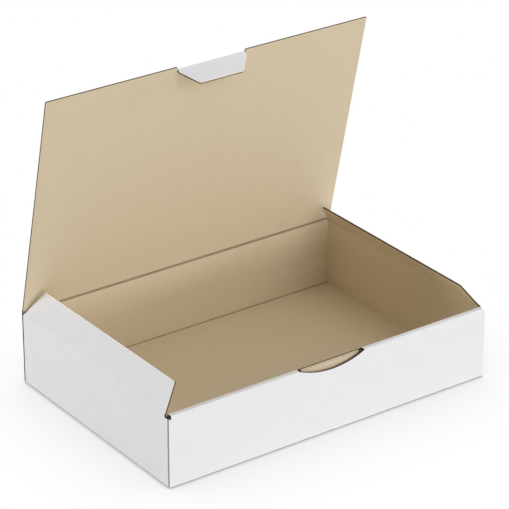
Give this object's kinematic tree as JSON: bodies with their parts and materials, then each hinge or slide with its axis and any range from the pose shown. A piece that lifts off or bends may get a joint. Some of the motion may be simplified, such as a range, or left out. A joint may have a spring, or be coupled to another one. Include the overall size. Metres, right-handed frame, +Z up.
{
  "type": "corrugated mailer box",
  "caption": "Shallow hinged-lid mailer box of white-lined corrugated board, with dust flaps, a double front wall with a thumb notch, and a tuck tab on the lid.",
  "frame": {"origin": "middle of the base, on the surface that the box stands on", "axes": "+X along the lid's hinge, to the right seen from the front; +Y from the front wall to the hinge wall; +Z up"},
  "size_m": [0.305, 0.208, 0.26],
  "materials": {
    "corrugated_board": "matte"
  },
  "bodies": {
    "tray": {"tray": "corrugated_board"},
    "lid": {"lid": "corrugated_board"},
    "tuck_tab": {"tuck_tab": "corrugated_board"},
    "left_dust_flap": {"left_dust_flap": "corrugated_board"},
    "right_dust_flap": {"right_dust_flap": "corrugated_board"}
  },
  "joints": [
    {"name": "lid_hinge", "type": "hinge", "parent": "tray", "child": "lid", "pos_m": [0, 0.1032, 0.0627], "axis": [-1, 0, 0], "range_deg": [-76.7, 53.3]},
    {"name": "tab_fold", "type": "hinge", "parent": "lid", "child": "tuck_tab", "pos_m": [0, 0.05726, 0.25704], "axis": [-1, 0, 0], "range_deg": [0, 108]},
    {"name": "left_flap_fold", "type": "hinge", "parent": "tray", "child": "left_dust_flap", "pos_m": [-0.1517, 0, 0.0608], "axis": [0, -1, 0], "range_deg": [-66.5, 46.5]},
    {"name": "right_flap_fold", "type": "hinge", "parent": "tray", "child": "right_dust_flap", "pos_m": [0.1517, 0, 0.0608], "axis": [0, 1, 0], "range_deg": [-66.5, 46.5]}
  ],
  "couplings": [
    {"joint": "left_flap_fold", "follows": "lid_hinge", "ratio": 0.86},
    {"joint": "right_flap_fold", "follows": "lid_hinge", "ratio": 0.86}
  ]
}
